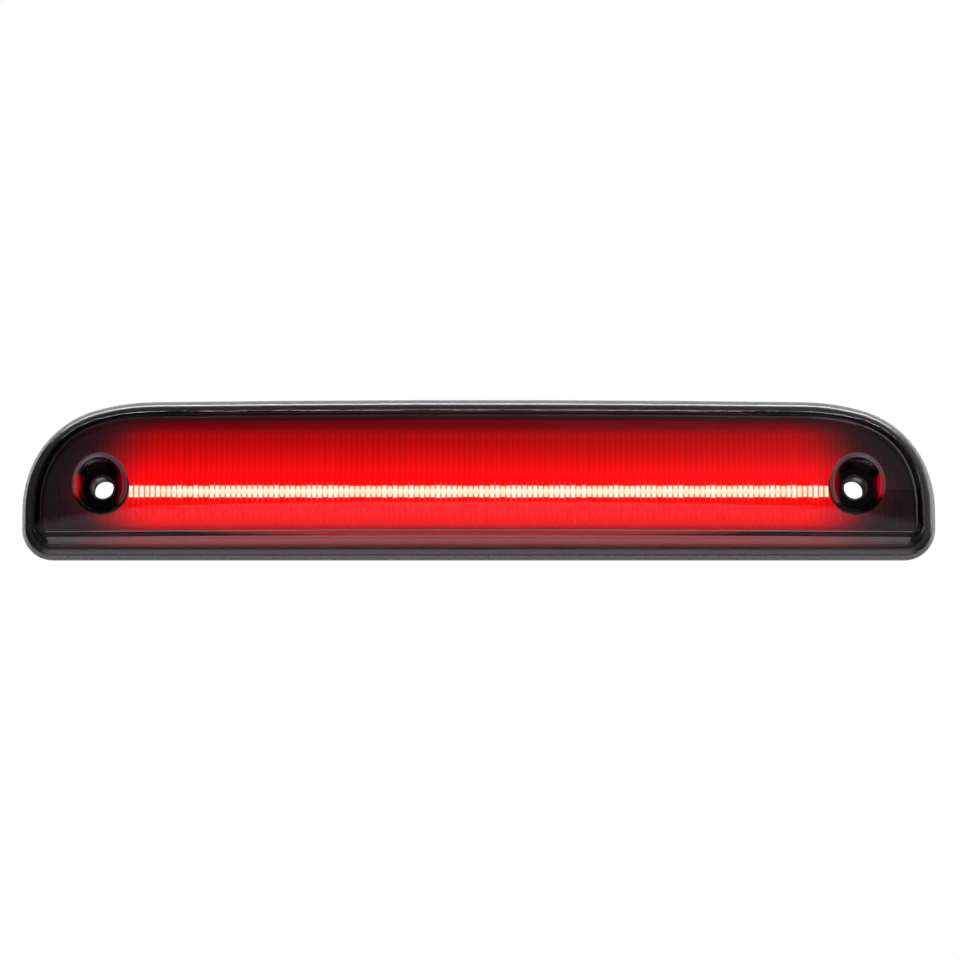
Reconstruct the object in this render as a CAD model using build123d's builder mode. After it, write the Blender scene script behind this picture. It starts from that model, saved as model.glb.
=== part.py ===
"""Third brake light: a sealed LED lamp with a smoked domed lens and two screw wells.

Frame: +X along the lamp, +Z up, the lens faces -Y.  The origin is midway between the
two screws, on the mounting plane, where the foam gasket meets the body panel.
"Depth" always means distance in front of that plane, that is, along -Y.
"""
from build123d import *
from math import cos, floor, radians, sin, sqrt, tan
import os

# --- Outline of the lamp, measured at the gasket's edge -----------------------------
lamp_width = 342.0
lamp_height = 60.3
screw_height = 25.7          # screw centres above the lamp's bottom edge
screw_end_distance = 31.0    # screw centres in from the lamp's ends
bottom_corner_radius = 11.5
side_radius = 43.0           # the big upper corner is three tangent arcs
side_turn = 22.0
corner_radius = 36.7
corner_turn = 52.0
shoulder_radius = 84.0
crown_slope = 0.75           # slope of the crowned top edge where it meets the corner

# --- Stack of depths ----------------------------------------------------------------
gasket_thickness = 3.0
gasket_band = 9.0
back_wall = 2.5
flange_thickness = 4.0
foot_thickness = 2.5
face_depth = 32.0            # front of the dome at its middle

# --- Outer lens ---------------------------------------------------------------------
foot_inset = 1.6             # lens foot and housing flange stand in from the gasket
foot_round = 1.8
dome_inset = 3.4
lens_wall = 2.5
wall_draft = 9.0
face_round = 1.0
hollow_round = 1.2
face_curve_radius = 72.0     # vertical curve of the face
face_bow_radius = 4500.0     # slight bow from end to end
tongue_width = 1.8
tongue_length = 1.8

# --- Screw wells and holes ----------------------------------------------------------
screw_hole_radius = 4.0
well_depth = 14.7
well_floor_radius = 7.4
well_mouth_width = 17.2
well_mouth_height = 19.6
well_lip_round = 1.2
well_wall = 1.8
spacer_wall = 0.7            # a spacer tube round each screw takes its clamping load
spacer_clearance = 0.1
spacer_bevel = 0.5
spacer_slot_width = 1.5
spacer_slot_depth = 0.8

# --- Housing ------------------------------------------------------------------------
groove_clearance = 0.5
bead_depth = 0.6
groove_wall = 2.2
boss_wall = 2.3
boss_bore_radius = 6.2
boss_seal_width = 4.5
post_radius = 2.9
rib_width = 1.6
rib_depth = 1.8
rib_bay = 23.0
rib_ladder_height = 25.0

# --- Optics -------------------------------------------------------------------------
optic_inset = 9.6            # tray and diffuser stand in from the gasket's edge
optic_drop = 0.8
tray_floor = 1.4
tray_wall = 1.6
tray_depth = 4.8
diffuser_thickness = 1.8
flute_pitch = 2.0
flute_radius = 1.35
flute_margin = 3.3
light_line_drop = 1.6        # the light bar runs this far below the screw centres
guide_height = 5.0
guide_depth = 4.6
guide_foot = 1.5
guide_clearance = 0.2
guide_end_gap = 1.1
well_clearance = 0.7

# --- Circuit board ------------------------------------------------------------------
board_back = 10.0
board_thickness = 1.6
board_height = 22.0
board_end_clearance = 4.0
post_edge_distance = 3.8
led_size = (3.5, 2.8, 0.8)
led_pitch = 10.4
resistor_size = (3.2, 1.6, 0.6)
driver_size = (6.6, 6.1, 2.3)
diode_size = (4.5, 2.6, 2.2)
suppressor_size = (5.4, 3.6, 2.3)
capacitor_size = (3.2, 2.5, 1.8)
driver_place = 24.0
diode_place = -22.0
suppressor_place = -32.0
capacitor_place = 36.0

# --- Screws inside ------------------------------------------------------------------
pin_screw_radius = 1.1
pin_screw_length = 4.5
pin_head_radius = 2.2
pin_head_height = 1.5
pin_screw_clearance = 0.35
recess_width = 0.7
recess_depth = 0.8

# --- Connector inlet and breather ---------------------------------------------------
inlet_width = 20.0
inlet_height = 12.0
inlet_wall = 1.8
inlet_corner = 2.0
inlet_recess = 0.4
inlet_flange = 2.5
inlet_flange_thickness = 1.5
inlet_floor = 1.6
inlet_board_gap = 0.4
inlet_clearance = 0.2
inlet_rise = 4.5             # the inlet sits above the LED row
inlet_key_width = 3.0
inlet_key_depth = 0.9
seal_thickness = 0.8
blade_width = 2.8
blade_thickness = 0.8
blade_spacing = 8.0
blade_setback = 2.0
blade_stand_off = 0.8
vent_radius = 3.0
membrane_radius = 4.6
membrane_thickness = 0.3
vent_cap_radius = 6.2
vent_cap_thickness = 1.8
vent_air_gap = 0.8
vent_slot_width = 1.4

# --- Sizes that follow from the ones above ------------------------------------------
bottom_edge = -screw_height
top_edge = lamp_height - screw_height
half_width = lamp_width / 2
screw_place = half_width - screw_end_distance
foot_seat = gasket_thickness + flange_thickness
housing_floor = gasket_thickness + back_wall
mid_height = (top_edge + bottom_edge) / 2
mouth_depth = face_depth - screw_place**2 / (2 * face_bow_radius)
well_floor = mouth_depth - well_depth
spacer_radius = screw_hole_radius + spacer_wall
boss_radius = boss_bore_radius + boss_wall
boss_front = well_floor - lens_wall - bead_depth
groove_outer = dome_inset + (lens_wall - tongue_width) / 2 - groove_clearance
groove_inner = groove_outer + tongue_width + 2 * groove_clearance
groove_depth = tongue_length + bead_depth
board_front = board_back + board_thickness
board_length = 2 * (screw_place - boss_radius - board_end_clearance)
tray_back = board_front + pin_head_height + pin_screw_clearance
diffuser_back = tray_back + tray_depth
guide_back = board_front + led_size[2] + guide_clearance
guide_half = screw_place - well_floor_radius - well_wall - guide_end_gap
screw_places = [(-screw_place, 0), (screw_place, 0)]
vent_place = 2.5 * rib_bay    # the breather sits in the middle of a rib bay


def front_plane(depth, drop=0.0):
    """Plane that faces the front, depth in front of the mounting plane."""
    return Plane(origin=(0, -depth, -drop), x_dir=(1, 0, 0), z_dir=(0, -1, 0))


def arc_sum(along):
    """Add up the run (cos) or rise (sin) of the three corner arcs."""
    turns = [0, side_turn, side_turn + corner_turn, 90 - crown_slope]
    radii = [side_radius, corner_radius, shoulder_radius]
    steps = zip(radii, turns, turns[1:])
    return sum(r * abs(along(radians(b)) - along(radians(a))) for r, a, b in steps)


crown_radius = (half_width - arc_sum(cos)) / sin(radians(crown_slope))
side_top = top_edge - crown_radius * (1 - cos(radians(crown_slope))) - arc_sum(sin)

with BuildSketch() as lamp_outline:
    with BuildLine():
        bottom_line = Line((0, bottom_edge), (bottom_corner_radius - half_width, bottom_edge))
        bottom_corner = JernArc(bottom_line @ 1, bottom_line % 1, bottom_corner_radius, -90)
        side_line = Line(bottom_corner @ 1, (-half_width, side_top))
        side_arc = JernArc(side_line @ 1, side_line % 1, side_radius, -side_turn)
        corner_arc = JernArc(side_arc @ 1, side_arc % 1, corner_radius, -corner_turn)
        shoulder_turn = 90 - crown_slope - side_turn - corner_turn
        shoulder_arc = JernArc(corner_arc @ 1, corner_arc % 1, shoulder_radius, -shoulder_turn)
        crown = JernArc(shoulder_arc @ 1, shoulder_arc % 1, crown_radius, -crown_slope)
        mirror(about=Plane.YZ)
    make_face()


def lamp_profile(inset):
    """Fill the open sketch with the lamp's outline, drawn in by inset."""
    add(lamp_outline.sketch)
    offset(amount=-inset)


def lamp_band(outer, inner):
    """Fill the open sketch with the band between two insets of the outline."""
    lamp_profile(outer)
    offset(amount=outer - inner, mode=Mode.SUBTRACT)


def dome_form(wall, edge_round):
    """Solid dome of the lens, every face drawn in by wall, its front edge rounded."""
    front = wall - face_depth
    curve = face_curve_radius - wall
    reach = lamp_height / 2 + gasket_band
    edge = front + curve - sqrt(curve**2 - reach**2)
    narrowing = (face_depth - foot_seat) * tan(radians(wall_draft))
    with BuildPart() as form:
        with BuildSketch(front_plane(foot_seat)):
            lamp_profile(dome_inset + wall)
        with BuildSketch(front_plane(face_depth)):
            lamp_profile(dome_inset + wall + narrowing)
        loft(ruled=True)
        with BuildSketch(Plane.YZ):
            with BuildLine():
                low = (edge, mid_height - reach)
                high = (edge, mid_height + reach)
                ThreePointArc(low, (front, mid_height), high)
                Polyline(high, (0, mid_height + reach), (0, mid_height - reach), low)
            make_face()
        bow_axis = Axis((0, face_bow_radius - face_depth, 0), (0, 0, 1))
        revolve(axis=bow_axis, mode=Mode.INTERSECT)
        fillet(form.faces().sort_by(Axis.Y)[0].edges(), edge_round)
    return form.part


def well_form(start, growth):
    """Both screw wells as solids from depth start out past the face, grown by growth."""
    rise = (face_depth - well_floor) / well_depth
    mouth_x = well_floor_radius + (well_mouth_width / 2 - well_floor_radius) * rise
    mouth_z = well_floor_radius + (well_mouth_height / 2 - well_floor_radius) * rise
    with BuildPart() as form:
        for place in screw_places:
            with BuildSketch(front_plane(well_floor)):
                with Locations(place):
                    Circle(well_floor_radius + growth)
            with BuildSketch(front_plane(face_depth)):
                with Locations(place):
                    Ellipse(mouth_x + growth, mouth_z + growth)
            loft()
            if start < well_floor:
                with BuildSketch(front_plane(start)):
                    with Locations(place):
                        Circle(well_floor_radius + growth)
                extrude(amount=well_floor - start)
    return form.part


def chip_group(size, depth, places, side=1):
    """Board components of one size, standing on the board at the given places."""
    with BuildPart() as group:
        with BuildSketch(front_plane(depth)):
            with Locations(*places):
                Rectangle(size[0], size[1])
        extrude(amount=side * size[2])
        top = group.faces().filter_by(Axis.Y).group_by(Axis.Y)[0 if side > 0 else -1]
        chamfer(top.edges(), 0.2)
    return group.part


def screw_group(seat, places):
    """Small pan-head screws with a cross recess, heads seated at depth seat."""
    with BuildPart() as group:
        with BuildSketch(front_plane(seat)):
            with Locations(*places):
                Circle(pin_head_radius)
        extrude(amount=pin_head_height)
        fillet(group.faces().group_by(Axis.Y)[0].edges(), 0.6)
        with BuildSketch(front_plane(seat)):
            with Locations(*places):
                Circle(pin_screw_radius)
        extrude(amount=-pin_screw_length)
        chamfer(group.faces().group_by(Axis.Y)[-1].edges(), 0.5)
        with BuildSketch(front_plane(seat + pin_head_height)):
            with Locations(*places):
                Rectangle(pin_head_radius * 1.2, recess_width)
                Rectangle(recess_width, pin_head_radius * 1.2)
        extrude(amount=-recess_depth, mode=Mode.SUBTRACT)
    return group.part


board_post_x = board_length / 2 - 2 * post_edge_distance
board_post_z = board_height / 2 - post_edge_distance
board_posts = [(x, z - light_line_drop) for x in (-board_post_x, board_post_x)
               for z in (-board_post_z, board_post_z)]
tray_post_z = top_edge - optic_inset - optic_drop - tray_wall - 2 * post_radius
tray_post_end = screw_place + boss_radius + well_clearance + 2 * post_radius
tray_posts = [(-screw_place / 2, tray_post_z), (screw_place / 2, tray_post_z),
              (-tray_post_end, 0), (tray_post_end, 0)]

blade_places = [(-blade_spacing / 2, inlet_rise), (blade_spacing / 2, inlet_rise)]

os.makedirs("parts", exist_ok=True)

# --- Outer lens: dome with a foot flange, a tongue and two screw wells --------------
dome = dome_form(0, face_round)
dome_hollow = dome_form(lens_wall, hollow_round)
well_cups = well_form(well_floor - lens_wall, well_wall)
well_hollows = well_form(well_floor, 0)

with BuildPart() as lens_hollow:
    add(dome_hollow)
    add(well_cups, mode=Mode.SUBTRACT)

with BuildPart() as outer_lens:
    with BuildSketch(front_plane(foot_seat)):
        lamp_band(foot_inset, dome_inset + lens_wall)
    extrude(amount=foot_thickness)
    foot_front = outer_lens.faces().sort_by(Axis.Y)[0]
    fillet(foot_front.outer_wire().edges(), foot_round)
    add(dome)
    add(lens_hollow.part, mode=Mode.SUBTRACT)
    add(well_hollows, mode=Mode.SUBTRACT)
    face_edges = outer_lens.faces().sort_by(Axis.Y)[0].inner_wires().edges()
    fillet(face_edges, well_lip_round)
    with BuildSketch(front_plane(foot_seat)):
        lamp_band(groove_outer + groove_clearance, groove_inner - groove_clearance)
    extrude(amount=-tongue_length)
    with BuildSketch(front_plane(well_floor)):
        with Locations(*screw_places):
            Circle(spacer_radius + spacer_clearance)
    extrude(amount=-lens_wall, mode=Mode.SUBTRACT)
outer_lens.part.label = "outer_lens"
export_step(outer_lens.part, "parts/outer_lens.step")

# --- Rear housing: back wall, grooved flange, bosses, posts and ribs ----------------
with BuildPart() as rear_housing:
    with BuildSketch(front_plane(gasket_thickness)):
        lamp_profile(foot_inset)
    extrude(amount=back_wall)
    with BuildSketch(front_plane(gasket_thickness)):
        lamp_band(foot_inset, groove_inner + groove_wall)
    extrude(amount=flange_thickness)
    with BuildSketch(front_plane(foot_seat)):
        lamp_band(groove_outer, groove_inner)
    extrude(amount=-groove_depth, mode=Mode.SUBTRACT)
    with BuildSketch(front_plane(0)):
        with Locations(*screw_places):
            Circle(boss_radius)
    extrude(amount=boss_front)
    with BuildSketch(front_plane(housing_floor)):
        with Locations(*screw_places):
            Circle(boss_bore_radius)
    extrude(amount=boss_front - housing_floor, mode=Mode.SUBTRACT)
    with BuildSketch(front_plane(0)):
        with Locations(*screw_places):
            Circle(screw_hole_radius)
    extrude(amount=housing_floor, mode=Mode.SUBTRACT)
    with BuildSketch(front_plane(housing_floor)):
        with Locations(*board_posts):
            Circle(post_radius)
    extrude(amount=board_back - housing_floor)
    with BuildSketch(front_plane(housing_floor)):
        with Locations(*tray_posts):
            Circle(post_radius)
    extrude(amount=tray_back - housing_floor)
    with BuildSketch(front_plane(tray_back)):
        with Locations(*tray_posts):
            Circle(pin_screw_radius)
    extrude(amount=tray_floor - pin_screw_length, mode=Mode.SUBTRACT)
    with BuildSketch(front_plane(board_back)):
        with Locations(*board_posts):
            Circle(pin_screw_radius)
    extrude(amount=board_thickness - pin_screw_length, mode=Mode.SUBTRACT)
    rib_bays = floor(board_length / 2 / rib_bay) * 2
    rib_run = rib_bays * rib_bay
    with BuildSketch(front_plane(gasket_thickness)):
        with GridLocations(rib_run, rib_ladder_height, 1, 2):
            Rectangle(rib_run + rib_width, rib_width)
        with GridLocations(rib_bay, 1, rib_bays + 1, 1):
            Rectangle(rib_width, rib_ladder_height)
        Rectangle(2 * rib_bay - rib_width, rib_ladder_height - rib_width, mode=Mode.SUBTRACT)
    extrude(amount=-rib_depth)
    with BuildSketch(front_plane(0)):
        with Locations((0, inlet_rise)):
            RectangleRounded(inlet_width + 2 * inlet_clearance,
                             inlet_height + 2 * inlet_clearance, inlet_corner)
        with Locations((vent_place, 0)):
            Circle(vent_radius)
    extrude(amount=housing_floor, mode=Mode.SUBTRACT)
rear_housing.part.label = "rear_housing"
export_step(rear_housing.part, "parts/rear_housing.step")

# --- Screw spacers: tubes from the housing's floor up through the lens --------------
with BuildPart() as screw_spacers:
    with BuildSketch(front_plane(housing_floor)):
        with Locations(*screw_places):
            Circle(spacer_radius)
            Circle(screw_hole_radius, mode=Mode.SUBTRACT)
    extrude(amount=well_floor - housing_floor)
    rims = screw_spacers.faces().group_by(Axis.Y)[0]
    chamfer([rim.inner_wires().edges() for rim in rims], spacer_bevel)
    slot_drop = -screw_hole_radius - spacer_wall / 2
    with BuildSketch(front_plane(well_floor)):
        with Locations(*[(x, slot_drop) for x, z in screw_places]):
            Rectangle(spacer_slot_width, 2 * spacer_wall)
    extrude(amount=-spacer_slot_depth, mode=Mode.SUBTRACT)
screw_spacers.part.label = "screw_spacers"
export_step(screw_spacers.part, "parts/screw_spacers.step")

# --- Seals --------------------------------------------------------------------------
with BuildPart() as foam_gasket:
    with BuildSketch(front_plane(0)):
        add(lamp_outline.sketch)
        offset(amount=-gasket_band, mode=Mode.SUBTRACT)
    extrude(amount=gasket_thickness)
foam_gasket.part.label = "foam_gasket"
export_step(foam_gasket.part, "parts/foam_gasket.step")

with BuildPart() as boss_seals:
    with BuildSketch(front_plane(0)):
        with Locations(*screw_places):
            Circle(boss_radius + boss_seal_width)
            Circle(boss_radius, mode=Mode.SUBTRACT)
    extrude(amount=gasket_thickness)
boss_seals.part.label = "boss_seals"
export_step(boss_seals.part, "parts/boss_seals.step")

with BuildPart() as lens_seal:
    with BuildSketch(front_plane(foot_seat - groove_depth)):
        lamp_band(groove_outer, groove_inner)
    extrude(amount=bead_depth)
lens_seal.part.label = "lens_seal"
export_step(lens_seal.part, "parts/lens_seal.step")

with BuildPart() as well_seals:
    with BuildSketch(front_plane(boss_front)):
        with Locations(*screw_places):
            Circle(boss_radius)
            Circle(boss_bore_radius, mode=Mode.SUBTRACT)
    extrude(amount=bead_depth)
well_seals.part.label = "well_seals"
export_step(well_seals.part, "parts/well_seals.step")

# --- Diffuser: a plate with vertical flutes on its front ----------------------------
well_gaps = well_form(housing_floor, well_wall + well_clearance)
flute_rise = flute_radius - sqrt(flute_radius**2 - (flute_pitch / 2)**2)
flute_count = floor((half_width - optic_inset - flute_margin) / flute_pitch) * 2
flute_run = flute_count * flute_pitch
flute_root = -diffuser_back - diffuser_thickness
plate_middle = flute_root + diffuser_thickness / 2

with BuildPart() as flutes:
    with BuildSketch(Plane.XY.offset(bottom_edge)):
        with BuildLine():
            for i in range(flute_count):
                left = i * flute_pitch - flute_run / 2
                crest = (left + flute_pitch / 2, flute_root - flute_rise)
                ThreePointArc((left, flute_root), crest, (left + flute_pitch, flute_root))
            Polyline((flute_run / 2, flute_root), (flute_run / 2, plate_middle),
                     (-flute_run / 2, plate_middle), (-flute_run / 2, flute_root))
        make_face()
    extrude(amount=lamp_height)
    with BuildSketch(front_plane(diffuser_back, optic_drop)):
        lamp_profile(optic_inset + flute_margin)
    extrude(amount=diffuser_thickness + flute_radius, mode=Mode.INTERSECT)

with BuildPart() as inner_lens:
    with BuildSketch(front_plane(diffuser_back, optic_drop)):
        lamp_profile(optic_inset)
    extrude(amount=diffuser_thickness)
    add(flutes.part)
    add(well_gaps, mode=Mode.SUBTRACT)
inner_lens.part.label = "inner_lens"
export_step(inner_lens.part, "parts/inner_lens.step")

# --- Reflector: a shallow tray with a slot for the light bar ------------------------
with BuildPart() as reflector:
    with BuildSketch(front_plane(tray_back, optic_drop)):
        lamp_profile(optic_inset)
    extrude(amount=tray_depth)
    with BuildSketch(front_plane(tray_back + tray_floor, optic_drop)):
        lamp_profile(optic_inset + tray_wall)
    extrude(amount=tray_depth - tray_floor, mode=Mode.SUBTRACT)
    with BuildSketch(front_plane(tray_back)):
        with Locations((0, -light_line_drop)):
            Rectangle(2 * (guide_half + guide_clearance), guide_height + 2 * guide_clearance)
        with Locations(*tray_posts):
            Circle(pin_screw_radius + pin_screw_clearance)
    extrude(amount=tray_floor, mode=Mode.SUBTRACT)
    add(well_gaps, mode=Mode.SUBTRACT)
reflector.part.label = "reflector"
export_step(reflector.part, "parts/reflector.step")

# --- Light guide: a clear bar whose foot is held between board and tray -------------
with BuildPart() as light_guide:
    with BuildSketch(front_plane(guide_back, light_line_drop)):
        Rectangle(2 * guide_half, guide_height)
    extrude(amount=guide_depth)
    guide_front = light_guide.faces().sort_by(Axis.Y)[0]
    fillet(guide_front.edges().filter_by(Axis.X), guide_height / 3)
    with BuildSketch(front_plane(guide_back, light_line_drop)):
        Rectangle(2 * guide_half, guide_height + 2 * guide_foot)
    extrude(amount=tray_back - guide_back)
light_guide.part.label = "light_guide"
export_step(light_guide.part, "parts/light_guide.step")

# --- Circuit board ------------------------------------------------------------------
with BuildPart() as circuit_board:
    with BuildSketch(front_plane(board_back, light_line_drop)):
        RectangleRounded(board_length, board_height, 1.5)
    extrude(amount=board_thickness)
    with BuildSketch(front_plane(board_back)):
        with Locations(*board_posts):
            Circle(pin_screw_radius + pin_screw_clearance)
        with Locations(*blade_places):
            Rectangle(blade_width, blade_thickness)
    extrude(amount=board_thickness, mode=Mode.SUBTRACT)
circuit_board.part.label = "circuit_board"
export_step(circuit_board.part, "parts/circuit_board.step")

# --- Components on the board --------------------------------------------------------
led_count = floor(2 * guide_half / led_pitch)
led_first = -(led_count - 1) * led_pitch / 2
led_places = [(led_first + led_pitch * i, -light_line_drop) for i in range(led_count)]
resistor_row = -light_line_drop - board_height / 2 + 2 * resistor_size[1]
resistor_places = [(x + led_pitch / 2, resistor_row) for x, z in led_places[1:-2:2]]

leds = chip_group(led_size, board_front, led_places)
leds.label = "leds"
export_step(leds, "parts/leds.step")

led_resistors = chip_group(resistor_size, board_front, resistor_places)
led_resistors.label = "led_resistors"
export_step(led_resistors, "parts/led_resistors.step")

driver_chip = chip_group(driver_size, board_back, [(driver_place, 0)], side=-1)
driver_chip.label = "driver_chip"
export_step(driver_chip, "parts/driver_chip.step")

polarity_diode = chip_group(diode_size, board_back, [(diode_place, 0)], side=-1)
polarity_diode.label = "polarity_diode"
export_step(polarity_diode, "parts/polarity_diode.step")

surge_suppressor = chip_group(suppressor_size, board_back, [(suppressor_place, 0)], side=-1)
surge_suppressor.label = "surge_suppressor"
export_step(surge_suppressor, "parts/surge_suppressor.step")

capacitor_places = [(capacitor_place, -capacitor_size[1]), (capacitor_place, capacitor_size[1])]
filter_capacitors = chip_group(capacitor_size, board_back, capacitor_places, side=-1)
filter_capacitors.label = "filter_capacitors"
export_step(filter_capacitors, "parts/filter_capacitors.step")

# --- Screws inside ------------------------------------------------------------------
board_screws = screw_group(board_front, board_posts)
board_screws.label = "board_screws"
export_step(board_screws, "parts/board_screws.step")

tray_screws = screw_group(tray_back + tray_floor, tray_posts)
tray_screws.label = "tray_screws"
export_step(tray_screws, "parts/tray_screws.step")

# --- Connector inlet: a shroud with a flange inside the housing ---------------------
inlet_front = board_back - inlet_board_gap
seal_front = housing_floor + seal_thickness
cavity_width = inlet_width - 2 * inlet_wall
cavity_height = inlet_height - 2 * inlet_wall

with BuildPart() as connector_inlet:
    with BuildSketch(front_plane(inlet_recess, -inlet_rise)):
        RectangleRounded(inlet_width, inlet_height, inlet_corner)
    extrude(amount=inlet_front - inlet_recess)
    with BuildSketch(front_plane(seal_front, -inlet_rise)):
        RectangleRounded(inlet_width + 2 * inlet_flange, inlet_height + 2 * inlet_flange,
                         inlet_corner)
    extrude(amount=inlet_flange_thickness)
    with BuildSketch(front_plane(inlet_recess, -inlet_rise)):
        RectangleRounded(cavity_width, cavity_height, inlet_corner / 2)
        with Locations((0, cavity_height / 2)):
            Rectangle(inlet_key_width, 2 * inlet_key_depth)
    extrude(amount=inlet_front - inlet_recess - inlet_floor, mode=Mode.SUBTRACT)
    with BuildSketch(front_plane(inlet_front)):
        with Locations(*blade_places):
            Rectangle(blade_width, blade_thickness)
    extrude(amount=-inlet_floor, mode=Mode.SUBTRACT)
connector_inlet.part.label = "connector_inlet"
export_step(connector_inlet.part, "parts/connector_inlet.step")

with BuildPart() as connector_pins:
    with BuildSketch(front_plane(inlet_recess + blade_setback)):
        with Locations(*blade_places):
            Rectangle(blade_width, blade_thickness)
    extrude(amount=board_front + blade_stand_off - inlet_recess - blade_setback)
    blade_ends = connector_pins.faces().group_by(Axis.Y)
    chamfer(blade_ends[-1].edges().filter_by(Axis.X), blade_thickness / 4)
connector_pins.part.label = "connector_pins"
export_step(connector_pins.part, "parts/connector_pins.step")

with BuildPart() as inlet_seal:
    with BuildSketch(front_plane(housing_floor, -inlet_rise)):
        RectangleRounded(inlet_width + 2 * inlet_flange, inlet_height + 2 * inlet_flange,
                         inlet_corner)
        RectangleRounded(inlet_width + 2 * inlet_clearance,
                         inlet_height + 2 * inlet_clearance, inlet_corner, mode=Mode.SUBTRACT)
    extrude(amount=seal_thickness)
inlet_seal.part.label = "inlet_seal"
export_step(inlet_seal.part, "parts/inlet_seal.step")

# --- Breather: a membrane over the vent hole, under a slotted cap -------------------
with BuildPart() as vent_membrane:
    with BuildSketch(front_plane(gasket_thickness)):
        with Locations((vent_place, 0)):
            Circle(membrane_radius)
    extrude(amount=-membrane_thickness)
vent_membrane.part.label = "vent_membrane"
export_step(vent_membrane.part, "parts/vent_membrane.step")

with BuildPart() as vent_cap:
    with BuildSketch(front_plane(gasket_thickness)):
        with Locations((vent_place, 0)):
            Circle(vent_cap_radius)
    extrude(amount=-vent_cap_thickness)
    fillet(vent_cap.faces().sort_by(Axis.Y)[-1].edges(), 0.4)
    with BuildSketch(front_plane(gasket_thickness)):
        with Locations((vent_place, 0)):
            Circle(membrane_radius)
    extrude(amount=-membrane_thickness - vent_air_gap, mode=Mode.SUBTRACT)
    with BuildSketch(front_plane(gasket_thickness - membrane_thickness)):
        with Locations((vent_place, 0)):
            Rectangle(2 * vent_cap_radius, vent_slot_width)
            Rectangle(vent_slot_width, 2 * vent_cap_radius)
    extrude(amount=-vent_air_gap, mode=Mode.SUBTRACT)
vent_cap.part.label = "vent_cap"
export_step(vent_cap.part, "parts/vent_cap.step")
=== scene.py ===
import logging
import math
from dataclasses import dataclass
from enum import Enum

import bpy
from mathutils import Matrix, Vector

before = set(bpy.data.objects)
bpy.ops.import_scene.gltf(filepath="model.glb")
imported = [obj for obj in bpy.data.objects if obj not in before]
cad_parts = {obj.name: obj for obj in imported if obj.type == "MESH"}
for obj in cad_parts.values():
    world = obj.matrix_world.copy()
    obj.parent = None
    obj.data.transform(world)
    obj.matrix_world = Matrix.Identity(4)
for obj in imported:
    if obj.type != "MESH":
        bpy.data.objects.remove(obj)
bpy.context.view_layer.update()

MM = 0.001
log = logging.getLogger("brake_light")


class Wire:
    """A node socket that takes part in ordinary arithmetic."""

    def __init__(self, tree: "Tree", socket: bpy.types.NodeSocket) -> None:
        """Wrap a socket.

        Args:
            tree: the node tree that new Math nodes go into.
            socket: the output socket to wrap.
        """
        self.tree = tree
        self.socket = socket

    def math(self, operation: str, *others: "Wire | float", first: bool = True) -> "Wire":
        """Add one Math node.

        Args:
            operation: the Math node's operation.
            others: the other operands.
            first: whether this wire is the first operand.

        Returns:
            The node's result.
        """
        operands = [self, *others] if first else [*others, self]
        sockets = dict(enumerate(operands))
        return self.tree.out("ShaderNodeMath", {"operation": operation}, sockets)

    def __add__(self, other: "Wire | float") -> "Wire":
        """Sum."""
        return self.math("ADD", other)

    def __radd__(self, other: float) -> "Wire":
        """Sum, with the number first."""
        return self.math("ADD", other)

    def __sub__(self, other: "Wire | float") -> "Wire":
        """Difference."""
        return self.math("SUBTRACT", other)

    def __rsub__(self, other: float) -> "Wire":
        """Difference, with the number first."""
        return self.math("SUBTRACT", other, first=False)

    def __mul__(self, other: "Wire | float") -> "Wire":
        """Product."""
        return self.math("MULTIPLY", other)

    def __rmul__(self, other: float) -> "Wire":
        """Product, with the number first."""
        return self.math("MULTIPLY", other)

    def __truediv__(self, other: "Wire | float") -> "Wire":
        """Quotient."""
        return self.math("DIVIDE", other)

    def __abs__(self) -> "Wire":
        """Absolute value."""
        return self.math("ABSOLUTE")

    def step(self, low: float, high: float) -> "Wire":
        """Smooth step from 0 at low to 1 at high, which may be the smaller."""
        kind = {"interpolation_type": "SMOOTHSTEP"}
        values = {"Value": self, "From Min": low, "From Max": high}
        return self.tree.out("ShaderNodeMapRange", kind, values)


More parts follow.
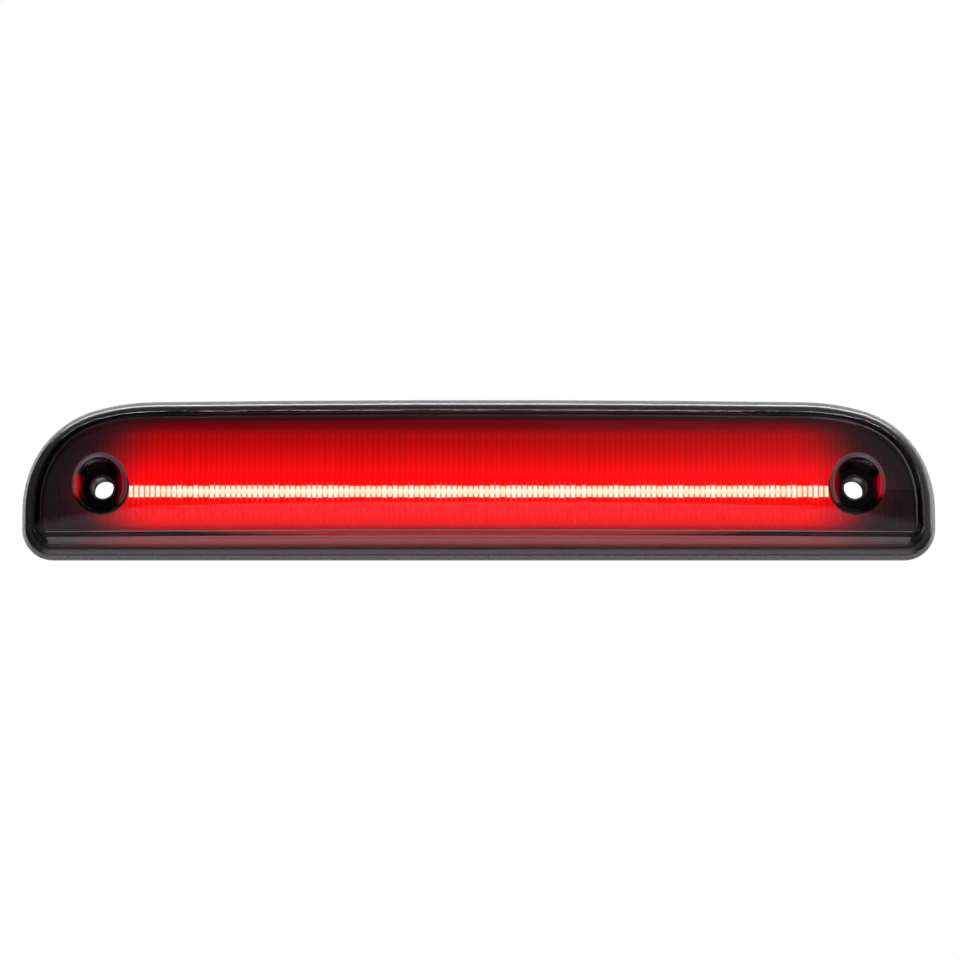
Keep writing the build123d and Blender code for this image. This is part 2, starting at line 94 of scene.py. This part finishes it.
class Tree:
    """The nodes of one material or world, all made by one method."""

    def __init__(self, owner: bpy.types.Material | bpy.types.World) -> None:
        """Empty the owner's node tree and keep it."""
        owner.use_nodes = True
        self.nodes = owner.node_tree.nodes
        self.links = owner.node_tree.links
        self.nodes.clear()

    def node(self, kind: str, settings: dict | None = None, sockets: dict | None = None) -> bpy.types.Node:
        """Make one node.

        Args:
            kind: the node's type.
            settings: attributes set before the sockets. "stops" is a ramp's stops.
            sockets: input names or numbers, with values or wires.

        Returns:
            The new node.
        """
        made = self.nodes.new(kind)
        for name, value in (settings or {}).items():
            if name == "stops":
                self.set_stops(made.color_ramp, value)
            else:
                setattr(made, name, value)
        for name, value in (sockets or {}).items():
            if isinstance(value, Wire):
                self.links.new(value.socket, made.inputs[name])
            else:
                made.inputs[name].default_value = value
        return made

    @staticmethod
    def set_stops(ramp: bpy.types.ColorRamp, stops: list[tuple]) -> None:
        """Give a colour ramp its stops.

        Args:
            ramp: the ramp.
            stops: pairs of place and colour.
        """
        while len(ramp.elements) < len(stops):
            ramp.elements.new(1.0)
        for element, (place, colour) in zip(ramp.elements, sorted(stops)):
            element.position = place
            element.color = (*colour, 1.0)

    def out(self, kind: str, settings: dict | None = None, sockets: dict | None = None,
            result: str | int = 0) -> Wire:
        """Make one node and wrap one of its outputs."""
        return Wire(self, self.node(kind, settings, sockets).outputs[result])

    def place(self, kind: str = "Object") -> tuple[Wire, Wire, Wire, Wire]:
        """Coordinates and their parts.

        Args:
            kind: "Object" on a piece, "Generated" in the world.

        Returns:
            The vector and its x, y and z, in metres on a piece.
        """
        vector = self.out("ShaderNodeTexCoord", result=kind)
        split = self.node("ShaderNodeSeparateXYZ", sockets={0: vector})
        return (vector, *(Wire(self, split.outputs[i]) for i in range(3)))

    def noise(self, vector: Wire, scale: float, detail: float = 2.0, rough: float = 0.5) -> Wire:
        """Noise from 0 to 1.

        Args:
            vector: the coordinates.
            scale: features per metre.
            detail: octaves.
            rough: strength of the finer octaves.

        Returns:
            The noise.
        """
        values = {"Vector": vector, "Scale": scale, "Detail": detail, "Roughness": rough}
        return self.out("ShaderNodeTexNoise", {"noise_dimensions": "3D"}, values)

    def cell_noise(self, value: Wire) -> Wire:
        """White noise that is even within each whole number of value."""
        whole = value.math("FLOOR")
        return self.out("ShaderNodeTexWhiteNoise", {"noise_dimensions": "1D"}, {"W": whole})

    def mix(self, factor: Wire | float, a: tuple | Wire, b: tuple | Wire, blend: str = "MIX") -> Wire:
        """Mix two colours.

        Args:
            factor: share of the second colour.
            a: first colour.
            b: second colour.
            blend: the Mix node's blend type.

        Returns:
            The mixed colour.
        """
        pair = [value if isinstance(value, Wire) else (*value, 1.0) for value in (a, b)]
        sockets = {0: factor, 6: pair[0], 7: pair[1]}
        return self.out("ShaderNodeMix", {"data_type": "RGBA", "blend_type": blend}, sockets, result=2)

    def bump(self, height: Wire, distance: float, strength: float = 1.0) -> Wire:
        """Normal from a height.

        Args:
            height: the height, from 0 to 1.
            distance: what a height of 1 stands for, in metres.
            strength: share of the effect.

        Returns:
            The bent normal.
        """
        sockets = {"Height": height, "Distance": distance, "Strength": strength}
        return self.out("ShaderNodeBump", None, sockets)

    def finish(self, **shader: object) -> None:
        """End the tree in one Principled shader.

        Args:
            shader: its sockets, with underscores for spaces.
        """
        names = {name.replace("_", " "): value for name, value in shader.items()}
        surface = self.out("ShaderNodeBsdfPrincipled", None, names)
        self.node("ShaderNodeOutputMaterial", None, {"Surface": surface})


def new_tree(name: str) -> tuple[bpy.types.Material, Tree]:
    """Make an empty material.

    Args:
        name: the material's name.

    Returns:
        The material and its tree.
    """
    material = bpy.data.materials.new(name)
    return material, Tree(material)


@dataclass(frozen=True)
class SmokedGloss:
    """Smoked lens plastic: polished dome, satin foot and well lips; painted shade darkens the screw wells,
    and painted light adds red glow, lip reflections and edge highlights.
    """

    name: str = "smoked_gloss"
    tint: tuple = (0.60, 0.585, 0.60)
    ior: float = 1.5
    polished: float = 0.012
    satin: float = 0.34
    sheen: float = 0.5
    foot_front: float = -9.6 * MM
    well_place: float = 140.0 * MM
    well_reach: float = 10.6 * MM
    well_lip: float = -28.9 * MM
    # painted shade: the lens is tinted near-black inside the screw wells, where little light reaches
    painted_well_shade: tuple = (0.03, 0.02, 0.025)
    # painted light: red glow on the well walls
    well_glow: tuple = (0.26, 0.003, 0.007)
    far_wall: float = 7.6 * MM
    near_wall: float = -4.5 * MM
    near_share: float = 0.5
    lip_squash: float = 0.90
    lip_inner: float = 8.5 * MM
    lip_outer: float = 10.4 * MM
    # painted reflection: grey emitted on the well lips, stronger on their upper part
    lip_painted_reflection: tuple = (0.050, 0.031, 0.040)
    reflection_low_share: float = 0.22
    # painted light: red highlight emitted along the dome's front edges
    edge_glow: tuple = (0.32, 0.018, 0.022)
    edge_depth: float = -27.0 * MM
    edge_end: float = 156.0 * MM
    low_edge: float = -17.1 * MM
    high_edge: float = 25.6 * MM
    high_share: float = 0.07

    def material(self) -> bpy.types.Material:
        """Build the material."""
        material, tree = new_tree(self.name)
        vector, x, y, z = tree.place()
        flow = tree.noise(vector, 40.0, 1.0)
        foot = y.step(self.foot_front - 0.1 * MM, self.foot_front + 0.1 * MM)
        outward = abs(x) - self.well_place
        well = self.well_walls(outward, y, z)
        # painted light: red glow emitted on the well walls
        red = tree.mix(well * self.wall_glow(outward, z), (0.0, 0.0, 0.0), self.well_glow)
        lip = self.lip(outward, y, z)
        # painted reflection on the well lips, fainter low on each lip
        lip_reflection_share = lip * (self.reflection_low_share + z.step(1.0 * MM, 6.0 * MM) * (1.0 - self.reflection_low_share))
        # painted light: red highlight on the dome's front edges, over the wells' painted glow
        lit_edge = tree.mix(self.front_edges(x, y, z), red, self.edge_glow)
        satin = foot + lip
        tree.finish(
            # painted shade: near-black tint in the screw wells
            Base_Color=tree.mix(well, self.tint, self.painted_well_shade),
            Transmission_Weight=1.0, IOR=self.ior, Metallic=satin * self.sheen,
            Roughness=self.polished + satin * (self.satin - self.polished),
            Emission_Color=tree.mix(lip_reflection_share, lit_edge, self.lip_painted_reflection),
            Emission_Strength=1.0, Normal=tree.bump(flow, 0.00004, 0.12))
        return material

    def well_walls(self, outward: Wire, y: Wire, z: Wire) -> Wire:
        """Mark the walls and floors of the screw wells.

        Args:
            outward: distance from a well's axis, away from the lamp's middle.
            y: depth.
            z: height.

        Returns:
            1 in the wells, 0 elsewhere.
        """
        radius = (outward * outward + z * z).math("SQRT")
        inside = radius.step(self.well_reach, self.well_reach - 0.3 * MM)
        return inside * y.step(self.well_lip, self.well_lip + 0.5 * MM)

    def wall_glow(self, outward: Wire, z: Wire) -> Wire:
        """Share of painted red light on a well's wall.

        Args:
            outward: distance from a well's axis, away from the lamp's middle.
            z: height.

        Returns:
            The share: an arc on the far wall, and a fainter patch on the near one.
        """
        far = outward.step(self.far_wall, self.far_wall + 0.5 * MM) * abs(z).step(5.5 * MM, 3.5 * MM)
        near = outward.step(self.near_wall, self.near_wall - 3.9 * MM) * abs(z).step(7.5 * MM, 3.0 * MM)
        return far + near * self.near_share

    def lip(self, outward: Wire, y: Wire, z: Wire) -> Wire:
        """Mark the satin lip round each well's mouth.

        Args:
            outward: distance from a well's axis, away from the lamp's middle.
            y: depth.
            z: height.

        Returns:
            1 on the lips, 0 elsewhere.
        """
        squashed = z * self.lip_squash
        ring = (outward * outward + squashed * squashed).math("SQRT")
        inner = ring.step(self.lip_inner, self.lip_inner + 0.3 * MM)
        outer = ring.step(self.lip_outer, self.lip_outer - 0.2 * MM)
        return inner * outer * y.step(self.well_lip, self.well_lip - 0.3 * MM)

    def front_edges(self, x: Wire, y: Wire, z: Wire) -> Wire:
        """Share of painted red light caught in the dome's two long front edges.

        Args:
            x: distance along the lamp.
            y: depth.
            z: height.

        Returns:
            The share, strong on the lower edge and faint on the upper one.
        """
        front = y.step(self.edge_depth, self.edge_depth - 1.0 * MM)
        along = abs(x).step(self.edge_end, self.edge_end - 26.0 * MM)
        low = z.step(self.low_edge, self.low_edge - 0.8 * MM)
        high = z.step(self.high_edge, self.high_edge + 1.0 * MM)
        return front * along * (low + high * self.high_share)


@dataclass(frozen=True)
class MouldedPlastic:
    """Opaque moulded plastic with a fine spark-eroded grain."""

    name: str
    dark: tuple
    light: tuple
    roughness: float = 0.5
    grain: float = 1500.0
    grain_depth: float = 0.00005

    def material(self) -> bpy.types.Material:
        """Build the material."""
        material, tree = new_tree(self.name)
        vector, *_ = tree.place()
        grain = tree.noise(vector, self.grain, 3.0, 0.6)
        cloud = tree.noise(vector, 45.0, 2.0)
        rough = self.roughness + (cloud - 0.5) * 0.16 + (grain - 0.5) * 0.1
        tree.finish(
            Base_Color=tree.mix(cloud, self.dark, self.light), Roughness=rough,
            Normal=tree.bump(grain, self.grain_depth, 0.6))
        return material


@dataclass(frozen=True)
class HousingPlastic:
    """Black housing plastic, with painted red light on it above and below the lit plate, and a faint
    painted glow elsewhere.
    """

    name: str = "black_housing"
    dark: tuple = (0.012, 0.012, 0.013)
    light: tuple = (0.022, 0.022, 0.024)
    roughness: float = 0.42
    inside_depth: float = -4.2 * MM
    below_share: float = 0.55
    above_share: float = 0.10
    # faint painted glow: emitted on the housing wherever the painted red light is absent
    dim_glow: tuple = (0.004, 0.003, 0.004)
    spilled: tuple = (1.0, 0.01, 0.02)

    def material(self) -> bpy.types.Material:
        """Build the material."""
        material, tree = new_tree(self.name)
        vector, x, y, z = tree.place()
        grain = tree.noise(vector, 1500.0, 3.0, 0.6)
        cloud = tree.noise(vector, 45.0, 2.0)
        # painted light: red light spilled on the housing below and above the plate
        below = z.step(-23.5 * MM, -16.5 * MM) * z.step(-10.0 * MM, -14.0 * MM) * self.below_share
        above = z.step(31.0 * MM, 24.0 * MM) * z.step(16.0 * MM, 22.0 * MM) * self.above_share
        inside = y.step(self.inside_depth, self.inside_depth - 0.3 * MM)
        spill = (below + above) * inside * abs(x).step(158.0 * MM, 120.0 * MM)
        rough = self.roughness + (cloud - 0.5) * 0.16 + (grain - 0.5) * 0.1
        tree.finish(
            Base_Color=tree.mix(cloud, self.dark, self.light), Roughness=rough,
            # painted light: red spill, and a faint glow elsewhere
            Emission_Color=tree.mix(spill, self.dim_glow, self.spilled),
            Emission_Strength=1.0, Normal=tree.bump(grain, 0.00005, 0.6))
        return material


@dataclass(frozen=True)
class FoamRubber:
    """Closed-cell foam: matt, with small open bubbles on its cut faces, darkened inside as painted shade.
    """

    name: str
    dark: tuple
    light: tuple
    cell: float = 900.0

    def material(self) -> bpy.types.Material:
        """Build the material."""
        material, tree = new_tree(self.name)
        vector, *_ = tree.place()
        cells = tree.out("ShaderNodeTexVoronoi", {"feature": "F1"}, {"Vector": vector, "Scale": self.cell})
        pit = cells.step(0.1, 0.5)
        cloud = tree.noise(vector, 60.0, 3.0)
        # painted shade darkens the bubble pits; the cloud adds random tone
        pit_shade_and_tone = pit * 0.6 + cloud * 0.4
        tree.finish(
            Base_Color=tree.mix(pit_shade_and_tone, self.dark, self.light), Roughness=0.82 + 0.12 * cloud,
            Normal=tree.bump(pit, 0.00015, 0.8))
        return material


@dataclass(frozen=True)
class LitDiffuser:
    """Fluted red plate: the glow behind it, and the light line broken up by its flutes."""

    name: str = "lit_diffuser"
    line_height: float = -2.0 * MM
    line_half: float = 2.1 * MM
    line_end: float = 130.0 * MM
    pitch: float = 2.0 * MM
    low: float = -18.0 * MM
    high: float = 26.0 * MM
    flute_top: float = 20.6 * MM
    flute_foot: float = -13.4 * MM
    dim_glow: tuple = (0.016, 0.010, 0.014)
    filter: float = 0.53

    def material(self) -> bpy.types.Material:
        """Build the material."""
        material, tree = new_tree(self.name)
        vector, x, _, z = tree.place()
        span = self.high - self.low
        along = (z - self.low) / span
        profile = tree.out("ShaderNodeValToRGB", {"stops": self.glow_stops()}, {0: along})
        reach = abs(x) + abs(z - self.line_height) * 0.4
        spread = reach.step(150.0 * MM, 122.0 * MM) * 0.88 + reach.step(160.0 * MM, 125.0 * MM) * 0.12
        flute = x / self.pitch
        phase = abs(flute.math("FRACT") - 0.5) * 2.0
        chance = tree.cell_noise(flute)
        under_top = z.step(self.flute_top, self.flute_top - 0.6 * MM)
        over_foot = z.step(self.flute_foot, self.flute_foot + 0.6 * MM)
        fluted = under_top * over_foot
        ribs = 1.0 + ((phase - 0.5) * 0.13 + (chance - 0.5) * 0.07) * fluted
        lit = tree.mix(1.0, profile, level_colour(tree, spread * ribs), "MULTIPLY")
        glow = tree.mix(1.0 - spread, lit, self.dim_glow, "ADD")
        colour = self.with_line(tree, glow, x, z, phase, chance)
        tree.finish(
            Base_Color=(0.08, 0.003, 0.004, 1.0), Roughness=0.12 + 0.1 * chance,
            Emission_Color=colour, Emission_Strength=1.0)
        return material

    def glow_stops(self) -> list[tuple]:
        """Red glow from the plate's bottom edge to its top.

        Returns:
            Ramp stops.
        """
        levels = [
            (-17.35, 0.48), (-16.8, 0.36), (-15.2, 0.44), (-13.6, 0.78), (-12.0, 0.90), (-8.0, 0.94),
            (-2.0, 1.0), (4.0, 0.99), (6.5, 0.90), (9.8, 0.69), (13.0, 0.54),
            (15.5, 0.44), (19.0, 0.39), (20.4, 0.25), (21.5, 0.17), (23.2, 0.10),
            (24.0, 0.16)]
        span = (self.high - self.low) / MM
        low = self.low / MM
        return [((at - low) / span, (share / self.filter, 0.002 * share, 0.005 * share))
                for at, share in levels]

    def with_line(self, tree: Tree, glow: Wire, x: Wire, z: Wire, phase: Wire, chance: Wire) -> Wire:
        """Lay the light line over the glow.

        Args:
            tree: the material's tree.
            glow: the red glow.
            x: distance along the lamp.
            z: height.
            phase: 0 in the middle of a flute, 1 between two.
            chance: a random share for each flute.

        Returns:
            The colour with the line.
        """
        off = abs(z - self.line_height)
        reach = abs(x).step(self.line_end + 0.2 * MM, self.line_end - 0.2 * MM)
        edge = self.line_half + (chance - 0.5) * 0.3 * MM
        band = (edge - off).step(-0.25 * MM, 0.25 * MM)
        filled = off.step(1.3 * MM, 0.5 * MM) * abs(x).step(self.line_end, self.line_end - 25.0 * MM)
        gap = phase.step(0.45, 0.9) * (1.0 - filled * 0.85)
        cell = band * reach * (1.0 - 0.85 * gap)
        white = tree.mix(chance, (1.9, 1.65, 1.05), (1.9, 1.8, 1.4))
        lined = tree.mix(cell, glow, white)
        spike = phase.step(0.6, 1.0) * off.step(4.6 * MM, self.line_half) * chance * reach
        return tree.mix(spike * (1.0 - band) * 0.35, lined, (1.9, 0.5, 0.3))


def level_colour(tree: Tree, level: Wire) -> Wire:
    """Turn a level into a grey colour."""
    return tree.out("ShaderNodeCombineColor", None, {0: level, 1: level, 2: level})


@dataclass(frozen=True)
class Glow:
    """A lit surface whose brightness varies a little."""

    name: str
    base: tuple
    dim: tuple
    bright: tuple
    scale: float = 300.0

    def material(self) -> bpy.types.Material:
        """Build the material."""
        material, tree = new_tree(self.name)
        vector, *_ = tree.place()
        share = tree.noise(vector, self.scale, 2.0)
        tree.finish(
            Base_Color=(*self.base, 1.0), Roughness=0.25 + 0.1 * share,
            Emission_Color=tree.mix(share, self.dim, self.bright), Emission_Strength=1.0)
        return material


@dataclass(frozen=True)
class PlatedMetal:
    """Plated or tinned metal with fine drawing marks."""

    name: str
    dark: tuple
    light: tuple
    roughness: float = 0.3

    def material(self) -> bpy.types.Material:
        """Build the material."""
        material, tree = new_tree(self.name)
        vector, *_ = tree.place()
        marks = tree.noise(vector, 4000.0, 3.0)
        cloud = tree.noise(vector, 400.0, 2.0)
        tree.finish(
            Base_Color=tree.mix(cloud, self.dark, self.light), Metallic=1.0,
            Roughness=self.roughness + (marks - 0.5) * 0.2,
            Normal=tree.bump(marks, 0.00001, 0.5))
        return material


@dataclass(frozen=True)
class BoardLaminate:
    """Solder-masked board with darker copper areas under the mask."""

    name: str = "board_laminate"

    def material(self) -> bpy.types.Material:
        """Build the material."""
        material, tree = new_tree(self.name)
        vector, *_ = tree.place()
        cells = tree.out(
            "ShaderNodeTexVoronoi", {"feature": "F1", "distance": "CHEBYCHEV"},
            {"Vector": vector, "Scale": 180.0})
        copper = cells.step(0.30, 0.34)
        speck = tree.noise(vector, 2500.0, 2.0)
        tree.finish(
            Base_Color=tree.mix(copper, (0.012, 0.10, 0.035), (0.02, 0.17, 0.06)),
            Roughness=0.32 + 0.12 * speck, Normal=tree.bump(copper, 0.00003, 0.6))
        return material


class Finish(Enum):
    """The lamp's finishes."""

    SMOKED = SmokedGloss()
    HOUSING = HousingPlastic()
    FOAM = FoamRubber("gasket_foam", (0.17, 0.171, 0.176), (0.29, 0.292, 0.30))
    SEALANT = MouldedPlastic("sealant_bead", (0.02, 0.02, 0.02), (0.05, 0.05, 0.05), 0.55, 700.0)
    DIFFUSER = LitDiffuser()
    # painted light: the reflector tray glows by emission in place of the LEDs' red light falling on it
    TRAY = Glow("lit_tray", (0.25, 0.006, 0.008), (0.05, 0.0006, 0.001), (0.12, 0.001, 0.002))
    BAR = Glow("light_bar", (0.8, 0.5, 0.4), (1.6, 1.2, 0.7), (1.9, 1.6, 1.1))
    LED = Glow("lit_led", (0.8, 0.3, 0.2), (1.6, 0.4, 0.25), (2.0, 0.7, 0.5), 900.0)
    BOARD = BoardLaminate()
    CHIP = MouldedPlastic("chip_resin", (0.012, 0.012, 0.013), (0.03, 0.03, 0.032), 0.5, 3000.0, 0.00002)
    CERAMIC = MouldedPlastic("fired_ceramic", (0.28, 0.18, 0.09), (0.42, 0.28, 0.15), 0.5, 3000.0, 0.00002)
    STEEL = PlatedMetal("zinc_steel", (0.50, 0.50, 0.52), (0.68, 0.68, 0.70))
    INLET = MouldedPlastic("inlet_nylon", (0.02, 0.02, 0.022), (0.04, 0.04, 0.043), 0.45, 2200.0)
    TERMINAL = PlatedMetal("tinned_brass", (0.66, 0.62, 0.52), (0.80, 0.77, 0.68), 0.25)
    SILICONE = MouldedPlastic("silicone_seal", (0.22, 0.05, 0.03), (0.30, 0.08, 0.05), 0.6, 500.0)
    FILM = FoamRubber("breather_film", (0.62, 0.62, 0.60), (0.80, 0.80, 0.78), 3500.0)


DRESSING: dict[str, Finish] = {
    "outer_lens": Finish.SMOKED,
    "rear_housing": Finish.HOUSING,
    "foam_gasket": Finish.FOAM,
    "boss_seals": Finish.FOAM,
    "screw_spacers": Finish.STEEL,
    "lens_seal": Finish.SEALANT,
    "well_seals": Finish.SEALANT,
    "inner_lens": Finish.DIFFUSER,
    "reflector": Finish.TRAY,
    "light_guide": Finish.BAR,
    "leds": Finish.LED,
    "circuit_board": Finish.BOARD,
    "led_resistors": Finish.CHIP,
    "driver_chip": Finish.CHIP,
    "polarity_diode": Finish.CHIP,
    "surge_suppressor": Finish.CHIP,
    "filter_capacitors": Finish.CERAMIC,
    "board_screws": Finish.STEEL,
    "tray_screws": Finish.STEEL,
    "connector_inlet": Finish.INLET,
    "connector_pins": Finish.TERMINAL,
    "inlet_seal": Finish.SILICONE,
    "vent_membrane": Finish.FILM,
    "vent_cap": Finish.INLET,
}


class LampFrame:
    """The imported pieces, each given its finish."""

    def dress(self) -> None:
        """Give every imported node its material."""
        made = {finish: finish.value.material() for finish in Finish}
        for node, finish in DRESSING.items():
            piece = bpy.data.objects[node]
            piece.data.materials.clear()
            piece.data.materials.append(made[finish])
            log.info("dressed %s as %s", node, finish.value.name)


@dataclass
class Studio:
    """Camera, floor and light of a plain white product set."""

    elevation: float = -6.85
    distance: float = 1.77
    framing: float = 0.3606
    aim: tuple = (0.00047, 0.0, 0.00473)
    floor_drop: float = 0.34
    floor_near: float = 1.64
    floor_bend: float = 3.5
    floor_side: float = 0.29
    floor_half: float = 5.0
    floor_gloss: tuple = (0.30, 0.27, 0.29)
    floor_dark: tuple = (0.01, 0.01, 0.01)
    floor_lift: tuple = (0.15, 0.15, 0.15)
    dark_side: tuple = (0.03, 0.03, 0.034)
    bright_side: tuple = (0.17, 0.165, 0.18)

    def build(self) -> None:
        """Build the set."""
        self.camera()
        self.floor()
        self.world()
        self.lights()
        bpy.context.scene.view_settings.view_transform = "Standard"

    def camera(self) -> None:
        """Aim a long lens at the middle of the lamp from slightly below."""
        data = bpy.data.cameras.new("camera")
        data.sensor_width = 36.0
        data.lens = data.sensor_width * self.distance / self.framing
        data.clip_start, data.clip_end = 0.05, 50.0
        camera = bpy.data.objects.new("camera", data)
        bpy.context.scene.collection.objects.link(camera)
        tilt = math.radians(self.elevation)
        back = Vector((0.0, -math.cos(tilt), math.sin(tilt)))
        camera.location = Vector(self.aim) + back * self.distance
        camera.rotation_mode = "QUATERNION"
        camera.rotation_quaternion = (-back).to_track_quat("-Z", "Y")
        bpy.context.scene.camera = camera

    def floor(self) -> None:
        """Lay a plain pale floor well below the lamp.

        In the lamp's gloss the floor is dark, apart from one dim patch in front of the lamp.
        """
        mesh = bpy.data.meshes.new("floor")
        turns = [(-1.0, -1.0), (1.0, -1.0), (1.0, 1.0), (-1.0, 1.0)]
        corners = [(a * self.floor_half, b * self.floor_half, -self.floor_drop) for a, b in turns]
        mesh.from_pydata(corners, [], [(0, 1, 2, 3)])
        floor = bpy.data.objects.new("floor", mesh)
        bpy.context.scene.collection.objects.link(floor)
        material, tree = new_tree("pale_floor")
        vector, x, y, _ = tree.place()
        sides = abs(x).step(self.floor_side + 0.02, self.floor_side - 0.02)
        cloud = tree.noise(vector, 2.0, 2.0)
        pale = tree.mix(cloud, (0.84, 0.84, 0.84), (0.88, 0.88, 0.88))
        near = (y + self.floor_near - x * x * self.floor_bend).step(-0.05, 0.05) * sides
        dimmed = tree.mix(near, self.floor_dark, self.floor_gloss)
        mirrored = tree.out("ShaderNodeLightPath", result="Is Glossy Ray")
        seen = tree.out("ShaderNodeLightPath", result="Is Camera Ray")
        tree.finish(
            Base_Color=tree.mix(mirrored, pale, dimmed), Roughness=0.7 + 0.1 * cloud,
            Emission_Color=tree.mix(seen, (0.0, 0.0, 0.0), self.floor_lift), Emission_Strength=1.0)
        mesh.materials.append(material)

    def world(self) -> None:
        """White for the camera; dim for the gloss of the lamp, brighter on the right."""
        world = bpy.data.worlds.new("studio")
        bpy.context.scene.world = world
        tree = Tree(world)
        _, across, *_ = tree.place("Generated")
        studio = tree.mix(across.step(-0.1, 0.35), self.dark_side, self.bright_side)
        seen = tree.out("ShaderNodeLightPath", result="Is Camera Ray")
        colour = tree.mix(seen, studio, (1.0, 1.0, 1.0))
        surface = tree.out("ShaderNodeBackground", None, {"Color": colour, "Strength": 1.0})
        tree.node("ShaderNodeOutputWorld", None, {"Surface": surface})

    def lights(self) -> None:
        """Soft light from above, in front and behind, with two softboxes that show in the gloss."""
        self.area("fill_light", (0.0, -3.2, 1.6), (1.6, 1.2), 150.0, glossy=False)
        self.area("back_fill", (0.0, 2.6, 1.6), (1.6, 1.2), 50.0, glossy=False)
        self.area("top_strip", (0.0, 0.0, 1.4), (2.4, 0.35), 22.0, diffuse=False)
        self.area("side_softbox", (1.5, 0.35, 0.30), (1.0, 0.6), 2.2, diffuse=False)

    def area(self, name: str, place: tuple, size: tuple, power: float, glossy: bool = True,
             diffuse: bool = True) -> None:
        """Add one area light that faces the lamp.

        Args:
            name: the light's name.
            place: its middle.
            size: its width and height.
            power: its power in watts.
            glossy: whether polished surfaces mirror it.
            diffuse: whether it lights matt surfaces.
        """
        data = bpy.data.lights.new(name, "AREA")
        data.shape = "RECTANGLE"
        data.size, data.size_y = size
        data.energy = power
        light = bpy.data.objects.new(name, data)
        light.location = place
        light.rotation_mode = "QUATERNION"
        light.rotation_quaternion = Vector(place).to_track_quat("Z", "Y")
        light.visible_glossy = glossy
        light.visible_diffuse = diffuse
        light.visible_transmission = False
        bpy.context.scene.collection.objects.link(light)


def main() -> None:
    """Build the whole scene."""
    logging.basicConfig(level=logging.INFO, format="%(name)s: %(message)s")
    LampFrame().dress()
    Studio().build()


if __name__ == "__main__":
    main()
